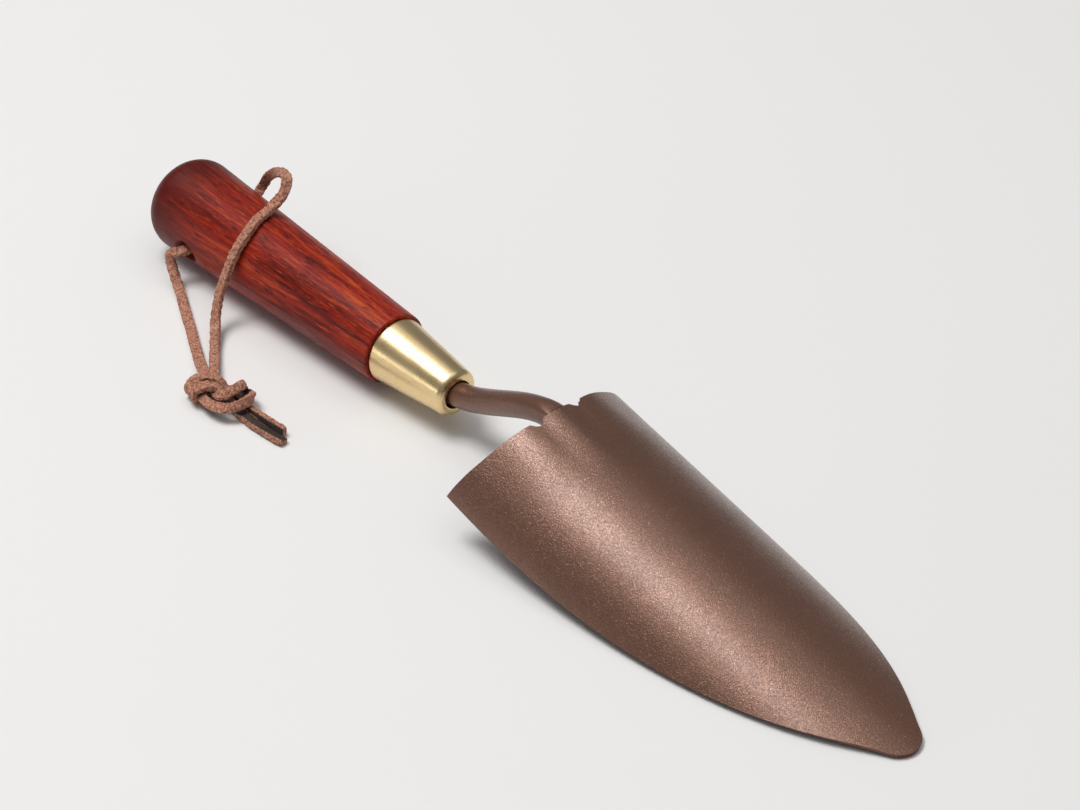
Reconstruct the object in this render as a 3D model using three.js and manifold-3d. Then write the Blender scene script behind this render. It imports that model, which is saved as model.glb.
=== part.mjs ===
// Hand trowel: a turned wooden handle, a tapered brass ferrule, a cranked steel rod that is
// bonded into the handle and welded under an arched steel blade, and a leather lace that is
// threaded through the handle and tied in an overhand knot.
//
// Millimetres. The trowel lies with its hollow side down, as it is put on a bench.
// +X runs from the butt of the handle to the tip of the blade, +Y across, +Z up.
// The origin is on the bench, halfway between butt and tip.

import * as THREE from 'three';
import { mergeVertices } from 'three/addons/utils/BufferGeometryUtils.js';
import Module from 'manifold-3d';

const wasm = await Module();
wasm.setup();

// ---------------------------------------------------------------- driving dimensions

const CLEARANCE = 0.3; // gap between pieces that touch

const HANDLE_LENGTH = 112;
const HANDLE_TILT = THREE.MathUtils.degToRad(1); // the handle dips towards the ferrule
const BUTT_RADIUS = 16;
const BUTT_FLAT_RADIUS = 6;
const BUTT_DOME_LENGTH = 9;
const SHOULDER_RADIUS = 11.9;
const SHOULDER_CHAMFER = 0.8;
const TANG_DEPTH = 70; // how far the rod goes into the wood
const ADHESIVE_WALL = 0.5;

const LACE_HOLE_FROM_BUTT = 23.5;
const LACE_HOLE_ROLL = THREE.MathUtils.degToRad(16); // the near mouth lies lower than the far one
const LACE_HOLE_RADIUS = 3.2;
const LACE_MOUTH_RADIUS = 7.5;
const LACE_MOUTH_DEPTH = 5;

const FERRULE_LENGTH = 30;
const FERRULE_REAR_RADIUS = 10.8;
const FERRULE_FRONT_RADIUS = 7.9;
const FERRULE_NOSE_RADIUS = 2.2;
const FERRULE_WALL = 1.2;
const FERRULE_SOCKET = 22; // how far the wooden spigot goes into it
const FERRULE_BORE_GAP = 0.75; // all round the rod, where it leaves the ferrule

const ROD_RADIUS = 4;
const NECK_LENGTH = 44; // from the ferrule to the rear edge of the blade
const NECK_RISE = 15.6; // from the ferrule's bore to where the rod meets the blade
const NECK_BEND_INSET = 4; // the bend starts this far inside the ferrule
const NECK_REAR_PULL = 16;
const NECK_FRONT_PULL = 12.3;
const NECK_DIVE = THREE.MathUtils.degToRad(28); // how steeply the rod goes under the blade
const ROD_OVERLAP = 26; // length of rod under the blade
const ROD_ENTRY = 2; // where the neck's bend ends, ahead of the rear edge

const BLADE_LENGTH = 145;
const BLADE_HALF_WIDTH = 35;
const SHEET_THICKNESS = 1.5;
const ARCH_DEPTH = 20.64; // how far the long edges lie below the crown line
const CROWN_HEIGHT = 32.75; // height of the blade's top at its rear edge
const CORNER_SWEEP = 9; // how far the rear corners reach back past the middle
const SIDE_PULL = 113;
const SIDE_FLARE = THREE.MathUtils.degToRad(1.5);
const TIP_PULL = 18;
const TIP_RADIUS = 7.8;
const TIP_ARC = THREE.MathUtils.degToRad(62);
const SWAGE_HEIGHT = 1.5; // ridge pressed up over the rod
const SWAGE_LENGTH = 30;
const SWAGE_HALF_WIDTH = 8;
const FLAT_HEIGHT = 1.1; // how far the arch is pressed flat on both sides of the ridge
const FLAT_LENGTH = 25;
const FLAT_HALF_WIDTH = 26;
const NOTCH_CENTRE = 7.4;
const NOTCH_WIDTH = 4.2;
const NOTCH_DEPTH = 1.8;

const WELD_RADIUS = 1.8;
const WELD_START = 5; // from the rear edge of the blade
const WELD_LENGTH = 18;

const LACE_THICKNESS = 2.2;
const KNOT_LENGTH = 22;
const KNOT_WIDTH = 15;
const KNOT_HEIGHT = 8.6;
const KNOT_TURN = THREE.MathUtils.degToRad(39);

// ---------------------------------------------------------------- places worked out from them

const GRIP_LENGTH = (HANDLE_LENGTH + FERRULE_LENGTH) * Math.cos(HANDLE_TILT);
const OVERALL_LENGTH = GRIP_LENGTH + NECK_LENGTH + BLADE_LENGTH;
const BUTT_X = -OVERALL_LENGTH / 2;
const BUTT_Z = BUTT_RADIUS * Math.cos(HANDLE_TILT) + BUTT_DOME_LENGTH * Math.sin(HANDLE_TILT);
const BLADE_X = BUTT_X + GRIP_LENGTH + NECK_LENGTH;
const TIP_X = BLADE_X + BLADE_LENGTH;
const RAKE_SLOPE = (CROWN_HEIGHT - SHEET_THICKNESS) / BLADE_LENGTH;
const TANG_BORE_RADIUS = ROD_RADIUS + ADHESIVE_WALL + 2 * CLEARANCE;
const FERRULE_BORE_RADIUS = ROD_RADIUS + FERRULE_BORE_GAP;
const ARCH_RADIUS = (BLADE_HALF_WIDTH ** 2 + ARCH_DEPTH ** 2) / (2 * ARCH_DEPTH);

const STEEL_COAT = { color: 0x5d4438, roughness: 0.45, metalness: 0.6 };
const LACE_LEATHER = { color: 0xa77b68, roughness: 0.95, metalness: 0 };

// ---------------------------------------------------------------- helpers

// A closed three.js geometry as a manifold: equal points are joined and flat triangles dropped.
function toManifold(geometry) {
  const bare = new THREE.BufferGeometry();
  bare.setAttribute('position', geometry.getAttribute('position').clone());
  bare.setIndex(geometry.index);
  const merged = mergeVertices(bare, 1e-4);
  const corners = merged.index.array;
  const kept = [];
  for (let i = 0; i < corners.length; i += 3) {
    const [a, b, c] = corners.slice(i, i + 3);
    if (a !== b && b !== c && c !== a) kept.push(a, b, c);
  }
  return new wasm.Manifold(new wasm.Mesh({
    numProp: 3,
    vertProperties: Float32Array.from(merged.getAttribute('position').array),
    triVerts: Uint32Array.from(kept),
  }));
}

function toGeometry(manifold) {
  const mesh = manifold.getMesh();
  const geometry = new THREE.BufferGeometry();
  geometry.setAttribute('position', new THREE.BufferAttribute(mesh.vertProperties, mesh.numProp));
  geometry.setIndex(new THREE.BufferAttribute(mesh.triVerts, 1));
  geometry.computeVertexNormals();
  return geometry;
}

function makePart(name, geometry, finish) {
  const mesh = new THREE.Mesh(geometry, new THREE.MeshStandardMaterial(finish));
  mesh.name = name;
  return mesh;
}

// Turns an outline of (radius, distance) points about the X axis.
function turnedAboutX(outline, sides) {
  const geometry = new THREE.LatheGeometry(outline, sides);
  geometry.rotateZ(-Math.PI / 2);
  return geometry;
}

// A round bar of the given radius that follows a curve.
function barAlong(curve, radius, sides, steps) {
  const section = new THREE.Shape();
  section.absarc(0, 0, radius, 0, 2 * Math.PI, false);
  return new THREE.ExtrudeGeometry(section, {
    curveSegments: sides / 2,
    steps,
    bevelEnabled: false,
    extrudePath: curve,
  });
}

// ---------------------------------------------------------------- handle

// The ferrule's outer radius at a distance from the handle's shoulder.
function ferruleRadius(fromShoulder) {
  const share = fromShoulder / FERRULE_LENGTH;
  return THREE.MathUtils.lerp(FERRULE_REAR_RADIUS, FERRULE_FRONT_RADIUS, share);
}

// Butt with a small flat and an elliptic dome, straight taper, chamfered shoulder, spigot, and
// the bore that takes the rod.
function handleOutline() {
  const outline = new THREE.Path();
  const spigotGap = FERRULE_WALL + CLEARANCE;
  const spigotEnd = FERRULE_SOCKET - CLEARANCE;
  outline.moveTo(0, 0);
  outline.lineTo(BUTT_FLAT_RADIUS, 0);
  outline.absellipse(
    BUTT_FLAT_RADIUS, BUTT_DOME_LENGTH,
    BUTT_RADIUS - BUTT_FLAT_RADIUS, BUTT_DOME_LENGTH,
    -Math.PI / 2, 0, false, 0,
  );
  outline.lineTo(SHOULDER_RADIUS, HANDLE_LENGTH - SHOULDER_CHAMFER);
  outline.lineTo(SHOULDER_RADIUS - SHOULDER_CHAMFER, HANDLE_LENGTH);
  outline.lineTo(ferruleRadius(0) - spigotGap, HANDLE_LENGTH);
  outline.lineTo(ferruleRadius(spigotEnd) - spigotGap, HANDLE_LENGTH + spigotEnd);
  outline.lineTo(TANG_BORE_RADIUS, HANDLE_LENGTH + spigotEnd);
  outline.lineTo(TANG_BORE_RADIUS, HANDLE_LENGTH - TANG_DEPTH - CLEARANCE);
  outline.lineTo(0, HANDLE_LENGTH - TANG_DEPTH - CLEARANCE);
  return outline.getPoints(5);
}

// Cutter for the lace hole: a straight bore across the handle, rolled about the handle's axis,
// that flares out at both mouths.
function laceHoleCutter() {
  const outline = new THREE.Path();
  const mouthAt = BUTT_RADIUS;
  const flareAt = mouthAt - LACE_MOUTH_DEPTH;
  outline.moveTo(0, -mouthAt - 1);
  outline.lineTo(LACE_MOUTH_RADIUS, -mouthAt - 1);
  outline.lineTo(LACE_MOUTH_RADIUS, -mouthAt);
  outline.quadraticCurveTo(LACE_HOLE_RADIUS, -mouthAt, LACE_HOLE_RADIUS, -flareAt);
  outline.lineTo(LACE_HOLE_RADIUS, flareAt);
  outline.quadraticCurveTo(LACE_HOLE_RADIUS, mouthAt, LACE_MOUTH_RADIUS, mouthAt);
  outline.lineTo(LACE_MOUTH_RADIUS, mouthAt + 1);
  outline.lineTo(0, mouthAt + 1);
  const cutter = new THREE.LatheGeometry(outline.getPoints(4), 20);
  cutter.rotateX(LACE_HOLE_ROLL);
  cutter.translate(LACE_HOLE_FROM_BUTT, 0, 0);
  return cutter;
}

function makeHandle() {
  const blank = toManifold(turnedAboutX(handleOutline(), 40));
  const drilled = blank.subtract(toManifold(laceHoleCutter()));
  return makePart('handle', toGeometry(drilled), { color: 0x6e2018, roughness: 0.35, metalness: 0 });
}

// ---------------------------------------------------------------- ferrule and adhesive

// A tapered cap: a socket for the spigot at the rear, a rounded nose and a bore for the rod.
function makeFerrule() {
  const outline = new THREE.Path();
  const rear = HANDLE_LENGTH + CLEARANCE;
  const nose = HANDLE_LENGTH + FERRULE_LENGTH;
  const socket = HANDLE_LENGTH + FERRULE_SOCKET;
  const noseFrom = nose - FERRULE_NOSE_RADIUS;
  outline.moveTo(ferruleRadius(0) - FERRULE_WALL, rear);
  outline.lineTo(ferruleRadius(0), rear);
  outline.lineTo(FERRULE_FRONT_RADIUS, noseFrom);
  outline.absarc(
    FERRULE_FRONT_RADIUS - FERRULE_NOSE_RADIUS, noseFrom, FERRULE_NOSE_RADIUS, 0, Math.PI / 2, false,
  );
  outline.lineTo(FERRULE_BORE_RADIUS, nose);
  outline.lineTo(FERRULE_BORE_RADIUS, socket);
  outline.lineTo(ferruleRadius(FERRULE_SOCKET) - FERRULE_WALL, socket);
  outline.lineTo(ferruleRadius(0) - FERRULE_WALL, rear);
  const geometry = turnedAboutX(outline.getPoints(4), 40);
  return makePart('ferrule', toGeometry(toManifold(geometry)), {
    color: 0xc9a760, roughness: 0.3, metalness: 1,
  });
}

// The sleeve of set adhesive between the rod and the wood.
function makeAdhesive() {
  const inner = ROD_RADIUS + CLEARANCE;
  const outer = inner + ADHESIVE_WALL;
  const rear = HANDLE_LENGTH - TANG_DEPTH;
  const front = HANDLE_LENGTH + FERRULE_SOCKET - CLEARANCE;
  const outline = [[inner, rear], [outer, rear], [outer, front], [inner, front], [inner, rear]];
  const geometry = turnedAboutX(outline.map(([r, d]) => new THREE.Vector2(r, d)), 24);
  return makePart('tang_adhesive', toGeometry(toManifold(geometry)), {
    color: 0xb9b29a, roughness: 0.6, metalness: 0,
  });
}

// ---------------------------------------------------------------- blade

// A squared cosine that falls from 1 at the start to 0 at the full length, and stays there.
function fadeOut(distance, length) {
  const share = THREE.MathUtils.clamp(distance / length, 0, 1);
  return Math.cos(share * Math.PI / 2) ** 2;
}

// Height that a point of the flat-lying arch gains from the blade's slope, from the ridge and
// from the flatter bands on both sides of the ridge, which are highest halfway out.
function bladeLift(x, y) {
  const fromRear = x - BLADE_X;
  const outward = Math.abs(y);
  const ridge = SWAGE_HEIGHT * fadeOut(fromRear, SWAGE_LENGTH) * fadeOut(outward, SWAGE_HALF_WIDTH);
  const outShare = Math.min(outward / FLAT_HALF_WIDTH, 1);
  const flat = FLAT_HEIGHT * fadeOut(fromRear, FLAT_LENGTH) * Math.sin(outShare * Math.PI) ** 2;
  return CROWN_HEIGHT - RAKE_SLOPE * fromRear + ridge + flat;
}

// An arched band that follows the blade's outer face from `above` over it to `below` under it.
function bladeBand(above, below, steps) {
  const reach = 2;
  const halfAngle = Math.asin(BLADE_HALF_WIDTH / ARCH_RADIUS) + 0.12;
  const from = Math.PI / 2 - halfAngle;
  const to = Math.PI / 2 + halfAngle;
  const section = new THREE.Shape();
  section.absarc(0, -ARCH_RADIUS, ARCH_RADIUS + above, from, to, false);
  section.absarc(0, -ARCH_RADIUS, ARCH_RADIUS - below, to, from, true);
  const rear = BLADE_X - CORNER_SWEEP - reach;
  const band = new THREE.ExtrudeGeometry(section, {
    depth: TIP_X + reach - rear,
    steps,
    curveSegments: 18,
    bevelEnabled: false,
  });
  const across = new THREE.Vector3(0, 1, 0);
  const up = new THREE.Vector3(0, 0, 1);
  const along = new THREE.Vector3(1, 0, 0);
  band.applyMatrix4(new THREE.Matrix4().makeBasis(across, up, along));
  band.translate(rear, 0, 0);
  const points = band.getAttribute('position');
  for (let i = 0; i < points.count; i += 1) {
    points.setZ(i, points.getZ(i) + bladeLift(points.getX(i), points.getY(i)));
  }
  return toManifold(band);
}

// The blade seen from above: swept rear edge, long bowed sides and a round tip.
function bladeOutline() {
  const cornerX = BLADE_X - CORNER_SWEEP;
  const tipCentre = TIP_X - TIP_RADIUS;
  const joinX = tipCentre + TIP_RADIUS * Math.cos(TIP_ARC);
  const joinY = TIP_RADIUS * Math.sin(TIP_ARC);
  const rearPullX = cornerX + SIDE_PULL * Math.cos(SIDE_FLARE);
  const rearPullY = BLADE_HALF_WIDTH + SIDE_PULL * Math.sin(SIDE_FLARE);
  const tipPullX = joinX - TIP_PULL * Math.sin(TIP_ARC);
  const tipPullY = joinY + TIP_PULL * Math.cos(TIP_ARC);
  const outline = new THREE.Shape();
  outline.moveTo(cornerX, -BLADE_HALF_WIDTH);
  outline.bezierCurveTo(rearPullX, -rearPullY, tipPullX, -tipPullY, joinX, -joinY);
  outline.absarc(tipCentre, 0, TIP_RADIUS, -TIP_ARC, TIP_ARC, false);
  outline.bezierCurveTo(tipPullX, tipPullY, rearPullX, rearPullY, cornerX, BLADE_HALF_WIDTH);
  outline.quadraticCurveTo(BLADE_X + CORNER_SWEEP, 0, cornerX, -BLADE_HALF_WIDTH);
  return outline;
}

// A round-ended slot at the rear edge, beside the tongue; side is -1 or 1.
function notchOutline(side) {
  const centre = side * NOTCH_CENTRE;
  const half = NOTCH_WIDTH / 2;
  const floorCentre = BLADE_X + NOTCH_DEPTH - half;
  const outline = new THREE.Shape();
  outline.moveTo(BLADE_X - CORNER_SWEEP, centre - half);
  outline.lineTo(floorCentre, centre - half);
  outline.absarc(floorCentre, centre, half, -Math.PI / 2, Math.PI / 2, false);
  outline.lineTo(BLADE_X - CORNER_SWEEP, centre + half);
  return outline;
}

function cutThroughPlan(outline, curveSegments) {
  const cutter = new THREE.ExtrudeGeometry(outline, {
    depth: 2 * CROWN_HEIGHT,
    curveSegments,
    bevelEnabled: false,
  });
  cutter.translate(0, 0, -CROWN_HEIGHT / 2);
  return toManifold(cutter);
}

function makeBlade() {
  let sheet = bladeBand(0, SHEET_THICKNESS, 30);
  sheet = sheet.intersect(cutThroughPlan(bladeOutline(), 20));
  for (const side of [-1, 1]) {
    sheet = sheet.subtract(cutThroughPlan(notchOutline(side), 6));
  }
  return makePart('blade', toGeometry(sheet), STEEL_COAT);
}

// ---------------------------------------------------------------- rod and welds

// A point of the grip's axis, at a distance from the butt.
function gripPoint(distance) {
  const x = BUTT_X + distance * Math.cos(HANDLE_TILT);
  const z = BUTT_Z - distance * Math.sin(HANDLE_TILT);
  return new THREE.Vector3(x, 0, z);
}

function direction(slopeAngle) {
  return new THREE.Vector3(Math.cos(slopeAngle), 0, Math.sin(slopeAngle));
}

// Where the rod lies under the blade's crown, at a distance from the rear edge.
function underBlade(fromRear) {
  const x = BLADE_X + fromRear;
  const z = bladeLift(x, 0) - SHEET_THICKNESS - CLEARANCE - ROD_RADIUS;
  return new THREE.Vector3(x, 0, z);
}

// Straight through the handle, an S-bend up to the blade, and a short run under the crown.
function rodPath() {
  const tangEnd = gripPoint(HANDLE_LENGTH - TANG_DEPTH);
  const bendStart = gripPoint(HANDLE_LENGTH + FERRULE_LENGTH - NECK_BEND_INSET);
  const mouth = gripPoint(HANDLE_LENGTH + FERRULE_LENGTH);
  const entry = new THREE.Vector3(BLADE_X + ROD_ENTRY, 0, mouth.z + NECK_RISE);
  const rodEnd = underBlade(ROD_OVERLAP);
  const dive = direction(-NECK_DIVE);
  const lastPull = (ROD_OVERLAP - ROD_ENTRY) / 3;
  const path = new THREE.CurvePath();
  path.add(new THREE.LineCurve3(tangEnd, bendStart));
  path.add(new THREE.CubicBezierCurve3(
    bendStart,
    bendStart.clone().addScaledVector(direction(-HANDLE_TILT), NECK_REAR_PULL),
    entry.clone().addScaledVector(dive, -NECK_FRONT_PULL),
    entry,
  ));
  path.add(new THREE.CubicBezierCurve3(
    entry,
    entry.clone().addScaledVector(dive, lastPull),
    rodEnd.clone().addScaledVector(direction(-Math.atan(RAKE_SLOPE)), -lastPull),
    rodEnd,
  ));
  return path;
}

// The rod's upper side is ground away wherever the blade's sheet lies in its way.
function makeRod() {
  const bar = toManifold(barAlong(rodPath(), ROD_RADIUS, 12, 46));
  const behind = new THREE.BoxGeometry(CROWN_HEIGHT, CROWN_HEIGHT, 2 * CROWN_HEIGHT);
  behind.translate(BLADE_X - CLEARANCE - CROWN_HEIGHT / 2, 0, CROWN_HEIGHT);
  const seat = bladeBand(ROD_RADIUS, SHEET_THICKNESS + CLEARANCE, 30).subtract(toManifold(behind));
  return makePart('tang_rod', toGeometry(bar.subtract(seat)), STEEL_COAT);
}

// A weld bead along the corner between rod and blade; side is -1 or 1.
function makeWeld(name, side) {
  const offset = ROD_RADIUS + WELD_RADIUS / 4;
  const beadPoint = (fromRear) => {
    const point = underBlade(fromRear);
    point.y = side * offset;
    point.z += ROD_RADIUS - WELD_RADIUS;
    return point;
  };
  const run = new THREE.LineCurve3(beadPoint(WELD_START), beadPoint(WELD_START + WELD_LENGTH));
  const sheet = bladeBand(ROD_RADIUS, SHEET_THICKNESS + CLEARANCE, 30);
  const rod = toManifold(barAlong(rodPath(), ROD_RADIUS + CLEARANCE, 12, 46));
  const bead = toManifold(barAlong(run, WELD_RADIUS, 10, 6)).subtract(sheet).subtract(rod);
  return makePart(name, toGeometry(bead), STEEL_COAT);
}

// ---------------------------------------------------------------- lace

// Hand-laid routes. Each leg starts inside the lace hole and ends at the knot.
const NEAR_LEG_ROUTE = [
  [-142, -0.2, 15.7], [-142, -4.8, 14.4], [-142, -9.6, 13], [-142.3, -13.4, 12.1],
  [-143.4, -16.8, 11.8], [-145, -18.8, 11.1], [-144.6, -19.3, 8.4], [-142.4, -19.8, 5.2],
  [-139.2, -20.9, 2.7], [-134, -23.2, 1.5], [-128, -26.3, 1.3], [-121.8, -29.4, 1.3],
  [-115.5, -32.7, 1.3], [-109, -36.1, 1.3], [-103.5, -39, 1.5], [-98.8, -41.4, 2.2],
  [-94, -43.6, 3.4], [-90, -45, 3.8],
];
const FAR_LEG_ROUTE = [
  [-142, 0.2, 15.8], [-142, 4.8, 17.1], [-142, 9.6, 18.5], [-142.3, 13.6, 19.8],
  [-142.9, 16.9, 21.6], [-142, 18.1, 24.2], [-139.4, 17.8, 27.9], [-134.6, 16.9, 32.3],
  [-128.8, 15, 36.1], [-123.6, 13.2, 38.3], [-120.4, 11.3, 37.9], [-119.3, 8.4, 34.9],
  [-119.5, 3, 31.5], [-118, -3, 31], [-116.6, -8.3, 28.9], [-116.4, -13, 24.5],
  [-116.5, -17, 18.1], [-115.9, -20.7, 12], [-113.1, -24.8, 6.4], [-107, -30, 2.9],
  [-100.4, -35.2, 2.4], [-95, -39.5, 3], [-90.5, -42.5, 3.8],
];
const LONG_TAIL_ROUTE = [
  [-77, -49, 2.4], [-73, -48.2, 1.4], [-67, -47.2, 1.3], [-60, -46, 1.3], [-52.4, -44.6, 1.3],
];
const SHORT_TAIL_ROUTE = [
  [-76, -45.2, 2.6], [-72, -44.4, 1.6], [-67, -43.2, 1.3], [-62, -41.8, 1.3], [-57, -40.2, 1.3],
];
const KNOT_CENTRE = new THREE.Vector3(-84.6, -45.4, KNOT_HEIGHT / 2 + 0.1);

// The knot's outer shape, grown by a margin.
function knotBody(margin) {
  const geometry = new THREE.SphereGeometry(1, 20, 12);
  geometry.rotateX(Math.PI / 2);
  geometry.scale(KNOT_LENGTH / 2 + margin, KNOT_WIDTH / 2 + margin, KNOT_HEIGHT / 2 + margin);
  geometry.rotateZ(KNOT_TURN);
  geometry.translate(KNOT_CENTRE.x, KNOT_CENTRE.y, KNOT_CENTRE.z);
  return toManifold(geometry);
}

function makeLaceRun(name, route, steps) {
  const curve = new THREE.CatmullRomCurve3(route.map((point) => new THREE.Vector3(...point)));
  const bar = toManifold(barAlong(curve, LACE_THICKNESS / 2, 8, steps));
  return makePart(name, toGeometry(bar.subtract(knotBody(CLEARANCE))), LACE_LEATHER);
}

// ---------------------------------------------------------------- the whole trowel

// Handle, ferrule and adhesive share the grip's tilted frame.
function makeGrip() {
  const grip = new THREE.Group();
  grip.add(makeHandle(), makeFerrule(), makeAdhesive());
  grip.rotation.y = HANDLE_TILT;
  grip.position.set(BUTT_X, 0, BUTT_Z);
  return grip;
}

const trowel = new THREE.Group();
trowel.add(
  makeGrip(),
  makeRod(),
  makeBlade(),
  makeWeld('weld_bead_near', -1),
  makeWeld('weld_bead_far', 1),
  makeLaceRun('lace_near_leg', NEAR_LEG_ROUTE, 30),
  makeLaceRun('lace_far_leg', FAR_LEG_ROUTE, 44),
  makePart('lace_knot', toGeometry(knotBody(0)), LACE_LEATHER),
  makeLaceRun('lace_tail_long', LONG_TAIL_ROUTE, 8),
  makeLaceRun('lace_tail_short', SHORT_TAIL_ROUTE, 8),
);

export default trowel;
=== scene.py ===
"""Hand trowel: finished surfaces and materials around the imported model.

Metres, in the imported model's frame: +X from the butt of the handle to the tip of the blade,
+Y across, +Z up, origin on the bench halfway between butt and tip.
"""

from math import atan, cos, radians, sin, tau
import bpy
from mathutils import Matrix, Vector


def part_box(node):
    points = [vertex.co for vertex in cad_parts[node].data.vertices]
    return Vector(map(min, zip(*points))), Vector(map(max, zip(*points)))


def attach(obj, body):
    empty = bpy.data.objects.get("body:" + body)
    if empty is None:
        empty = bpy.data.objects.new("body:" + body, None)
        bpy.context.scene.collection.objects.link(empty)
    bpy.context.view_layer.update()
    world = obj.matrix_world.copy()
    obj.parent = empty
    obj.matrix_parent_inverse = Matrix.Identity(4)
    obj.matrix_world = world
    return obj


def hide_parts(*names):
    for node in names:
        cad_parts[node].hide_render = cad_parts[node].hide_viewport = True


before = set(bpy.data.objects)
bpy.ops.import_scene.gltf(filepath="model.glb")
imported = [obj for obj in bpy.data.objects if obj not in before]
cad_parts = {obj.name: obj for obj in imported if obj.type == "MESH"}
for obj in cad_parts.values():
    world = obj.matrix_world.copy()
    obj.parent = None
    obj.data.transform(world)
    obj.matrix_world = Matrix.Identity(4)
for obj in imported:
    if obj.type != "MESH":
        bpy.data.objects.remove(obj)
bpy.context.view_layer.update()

from types import SimpleNamespace

import bmesh
import bpy
import numpy as np
from mathutils import Matrix, Vector

bl_info = {
    "name": "Hand Trowel",
    "version": (1, 0, 0),
    "blender": (4, 5, 0),
    "location": "View3D > Sidebar > Trowel",
    "description": "Builds a hand trowel with a wooden handle, brass ferrule and leather lace",
    "category": "Add Mesh",
}

MM = 0.001

# Lace routes in millimetres, from the middle of the lace hole to the cut tail.
NEAR_ROUTE = [
    (-142, -0.2, 15.7), (-142, -4.8, 14.4), (-142, -9.6, 13), (-142.3, -13.4, 12.1),
    (-143.4, -16.8, 11.8), (-145, -18.8, 11.1), (-144.6, -19.3, 8.4), (-142.4, -19.8, 5.2),
    (-139.2, -20.9, 2.7), (-134, -23.2, 1.5), (-128, -26.3, 1.3), (-121.8, -29.4, 1.3),
    (-115.5, -32.7, 1.3), (-109, -36.1, 1.3), (-103.5, -39, 1.5), (-98.8, -41.4, 2.2),
    (-94, -43.6, 3.2), (-91, -47.2, 3), (-88.1, -49.8, 3.2), (-83, -51.9, 3.6),
    (-78, -52, 4.2), (-74.3, -50.5, 4.8), (-72.4, -47.6, 5.2), (-72.1, -43.9, 5.3),
    (-73.5, -40.9, 4.8), (-76.6, -39.6, 3.4), (-79.6, -40.4, 1.9), (-82.6, -42.9, 1.2),
    (-86.4, -46.6, 1.2), (-89.9, -50.2, 1.5), (-90.4, -52.2, 2.6), (-90.3, -52.4, 4.4),
    (-90, -51.4, 6.2), (-88.9, -49.4, 7.5), (-87.2, -47.2, 7.8), (-85, -45.4, 7),
    (-82.8, -44.4, 5.2), (-80.2, -43.9, 3.6), (-76.9, -43.6, 2.5), (-73.4, -43.3, 1.9),
    (-69, -43, 1.8), (-63.4, -42.6, 1.8), (-56, -41.9, 1.8),
]
FAR_ROUTE = [
    (-142, 0.2, 15.8), (-142, 4.8, 17.1), (-142, 9.6, 18.5), (-142.3, 13.6, 19.8),
    (-142.9, 16.9, 21.6), (-142, 18.1, 24.2), (-139.4, 17.8, 27.9), (-134.6, 16.9, 32.3),
    (-128.8, 15, 36.1), (-123.6, 13.2, 38.3), (-120.4, 11.3, 37.9), (-119.3, 8.4, 34.9),
    (-119.5, 3, 31.5), (-118, -3, 31), (-116.6, -8.3, 28.9), (-116.4, -13, 24.5),
    (-116.5, -17, 18.1), (-115.9, -20.7, 12), (-113.1, -24.8, 6.4), (-107, -30, 2.9),
    (-100.4, -35.2, 2.4), (-95, -39.2, 2.8), (-89.6, -43.2, 3.4), (-84.5, -46.9, 4.4),
    (-79.8, -48.6, 5.8), (-77.6, -47.2, 6.8), (-77.4, -43.8, 7.2), (-78.2, -41.1, 6.6),
    (-79.8, -39.4, 5), (-81.4, -39.2, 3.2), (-83, -40.8, 1.9), (-84.6, -44.2, 1.2),
    (-85.8, -47.2, 1.2), (-86.6, -50, 1.4), (-87, -52.8, 2.4), (-87, -53.6, 4.2),
    (-86.7, -53.2, 5.8), (-85.6, -51.8, 7), (-84, -49.6, 7.4), (-82.4, -47.6, 6.6),
    (-80.6, -46.4, 4.8), (-78.6, -46.1, 3.2), (-75.3, -45.9, 2.1), (-71.2, -46, 1.5),
    (-64.2, -45.9, 1.3), (-58.5, -45.5, 1.3), (-52.7, -44.6, 1.3),
]
LACE_LOWEST = 0.05 * MM  # the lace lies on the bench
STATION_STEPS = 24  # points of the spline from one station to the next
RING_SPACING = 0.22 * MM
RING_POINTS = 40
SQUARENESS = 0.34  # power of sine and cosine in the lace's section
TWIST_BLUR = 15  # rings on either side that a turn of the smooth face is spread over
PATH_SPACING = 1.5 * MM

# Which way the smooth, dark face of the lace looks, at stations of each route.
NEAR_FACES = {
    0: (0, 0, -1), 3: (0, 0.3, -1), 5: (-0.2, 0.8, -0.4), 7: (-0.3, 0.7, -0.6), 9: (0, 0.2, -1),
    16: (0, 0, -1), 18: (-0.5, 0.5, -0.7), 21: (-0.5, 0.5, -0.7), 23: (-0.9, 0, -0.4),
    25: (-0.3, -0.6, 0.7), 27: (0, 0, 1), 29: (0, 0.3, 1), 30: (0.1, 0.9, 0.5), 31: (0.1, 1, 0),
    32: (0.1, 0.8, -0.6), 33: (0, 0.4, -0.9), 34: (0, -0.1, -1), 36: (-0.2, -0.4, -0.8),
    38: (0, -0.8, 0.4), 40: (0, -1, 0.1), 42: (0, -1, 0.1),
}
FAR_FACES = {
    0: (0, 0, -1), 3: (-0.3, 0.3, -0.9), 5: (-0.7, 0.6, -0.4), 8: (-0.6, 0.6, -0.6),
    10: (-0.8, 0.2, -0.6), 12: (0, 0.1, -1), 14: (0, 0.5, -0.8), 16: (0, 0.9, -0.3),
    18: (0, 0.6, -0.8), 20: (0, 0, -1), 22: (-0.3, 0.3, -0.9), 24: (-0.5, 0.5, -0.7),
    26: (-0.6, 0, -0.8), 28: (-0.3, -0.9, -0.3), 30: (0, -0.6, 0.8), 31: (0, 0, 1),
    33: (0, 0.3, 1), 34: (0.1, 0.9, 0.4), 35: (0.1, 1, 0), 36: (0.1, 0.8, -0.5),
    37: (0, 0.5, -0.9), 38: (0, 0.1, -1), 39: (-0.1, -0.2, -1), 40: (0, -0.7, -0.7),
    41: (0, -1, 0), 42: (0, -0.7, 0.7), 43: (0, 0, 1), 45: (0, 0.3, 0.95), 46: (0, 0.3, 0.95),
}


# ---------------------------------------------------------------- settings

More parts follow.
